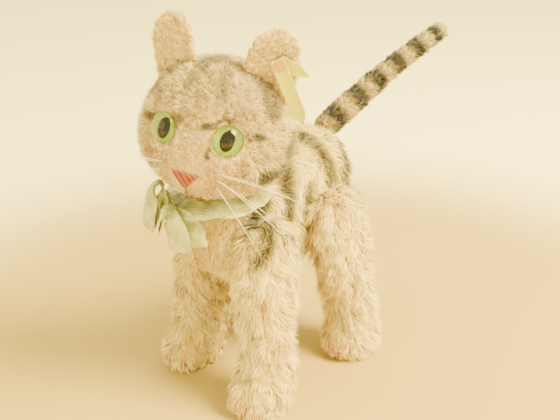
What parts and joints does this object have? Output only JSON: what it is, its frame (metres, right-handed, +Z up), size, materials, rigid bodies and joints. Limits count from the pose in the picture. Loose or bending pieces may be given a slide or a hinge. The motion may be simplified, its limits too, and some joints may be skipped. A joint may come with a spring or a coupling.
{
  "type": "plush cat",
  "caption": "Standing stuffed mohair kitten with a turning head, turning legs, a bending tail, glass eyes, whiskers and a satin bow.",
  "frame": {"origin": "on the floor, under the middle of the whole toy's box", "axes": "+Z up, the cat faces -Y, its own left is +X"},
  "size_m": [0.0747, 0.1609, 0.137],
  "materials": {
    "cream_mohair": "long cream mohair pile on a woven cotton back",
    "face_mohair": "short clipped mohair pile, tan with dark streaks",
    "striped_mohair": "mohair pile with airbrushed dark rings",
    "wood_wool": "fine curled wood wool, firmly packed",
    "hardboard": "pressed board, smooth",
    "steel": "plain steel",
    "claw_floss": "pale orange embroidery floss",
    "nose_floss": "coral embroidery floss, satin stitch",
    "mouth_thread": "dark brown thread",
    "eye_glass": "clear green glass, polished",
    "pupil_glass": "black glass",
    "eye_enamel": "green enamel behind the glass",
    "bristle": "clear pale bristle",
    "stud_brass": "dull brass",
    "label_cloth": "plain yellow woven tape",
    "satin_ribbon": "pale green satin with a woven edge"
  },
  "bodies": {
    "torso": {"torso_skin": "cream_mohair", "torso_stuffing": "wood_wool", "torso_leg_discs": "hardboard", "torso_leg_washers": "steel", "leg_cotter_pins": "steel", "torso_neck_disc": "hardboard", "torso_neck_washer": "steel", "neck_cotter_pin": "steel", "collar_ribbon": "satin_ribbon", "bow_knot": "satin_ribbon", "bow_long_loop": "satin_ribbon", "bow_short_loop": "satin_ribbon", "bow_long_end": "satin_ribbon", "bow_short_end": "satin_ribbon"},
    "left_front_leg": {"left_front_leg_skin": "cream_mohair", "left_front_leg_stuffing": "wood_wool", "left_front_leg_disc": "hardboard", "left_front_leg_washer": "steel", "left_front_claws": "claw_floss"},
    "right_front_leg": {"right_front_leg_skin": "cream_mohair", "right_front_leg_stuffing": "wood_wool", "right_front_leg_disc": "hardboard", "right_front_leg_washer": "steel", "right_front_claws": "claw_floss"},
    "left_hind_leg": {"left_hind_leg_skin": "cream_mohair", "left_hind_leg_stuffing": "wood_wool", "left_hind_leg_disc": "hardboard", "left_hind_leg_washer": "steel", "left_hind_claws": "claw_floss"},
    "right_hind_leg": {"right_hind_leg_skin": "cream_mohair", "right_hind_leg_stuffing": "wood_wool", "right_hind_leg_disc": "hardboard", "right_hind_leg_washer": "steel", "right_hind_claws": "claw_floss"},
    "head": {"head_skin": "face_mohair", "head_stuffing": "wood_wool", "head_neck_disc": "hardboard", "head_neck_washer": "steel", "left_ear": "cream_mohair", "right_ear": "cream_mohair", "left_eye_glass": "eye_glass", "right_eye_glass": "eye_glass", "eye_pupils": "pupil_glass", "eye_backings": "eye_enamel", "eye_shanks": "steel", "nose_stitching": "nose_floss", "mouth_stitching": "mouth_thread", "left_whiskers": "bristle", "right_whiskers": "bristle", "ear_stud": "stud_brass", "ear_label": "label_cloth"},
    "tail": {"tail_skin": "striped_mohair", "tail_stuffing": "wood_wool", "tail_wire": "steel"}
  },
  "joints": [
    {"name": "left_front_shoulder", "type": "hinge", "parent": "torso", "child": "left_front_leg", "pos_m": [-0.00706, -0.034, 0.057], "axis": [-1, 0, 0], "range_deg": [-13, 55]},
    {"name": "right_front_shoulder", "type": "hinge", "parent": "torso", "child": "right_front_leg", "pos_m": [-0.00706, -0.034, 0.057], "axis": [-1, 0, 0], "range_deg": [-5, 50]},
    {"name": "left_hind_hip", "type": "hinge", "parent": "torso", "child": "left_hind_leg", "pos_m": [-0.00706, 0.0055, 0.057], "axis": [1, 0, 0], "range_deg": [-13, 90]},
    {"name": "right_hind_hip", "type": "hinge", "parent": "torso", "child": "right_hind_leg", "pos_m": [-0.00706, 0.0055, 0.057], "axis": [1, 0, 0], "range_deg": [-5, 90]},
    {"name": "neck_swivel", "type": "hinge", "parent": "torso", "child": "head", "pos_m": [-0.00946, -0.0416, 0.07921], "axis": [0.1088, 0.0466, 0.993], "range_deg": [-110, 66]},
    {"name": "tail_bend", "type": "hinge", "parent": "torso", "child": "tail", "pos_m": [-0.00706, 0.01767, 0.08801], "axis": [0.9816, -0.1908, 0], "range_deg": [-20, 25]}
  ]
}
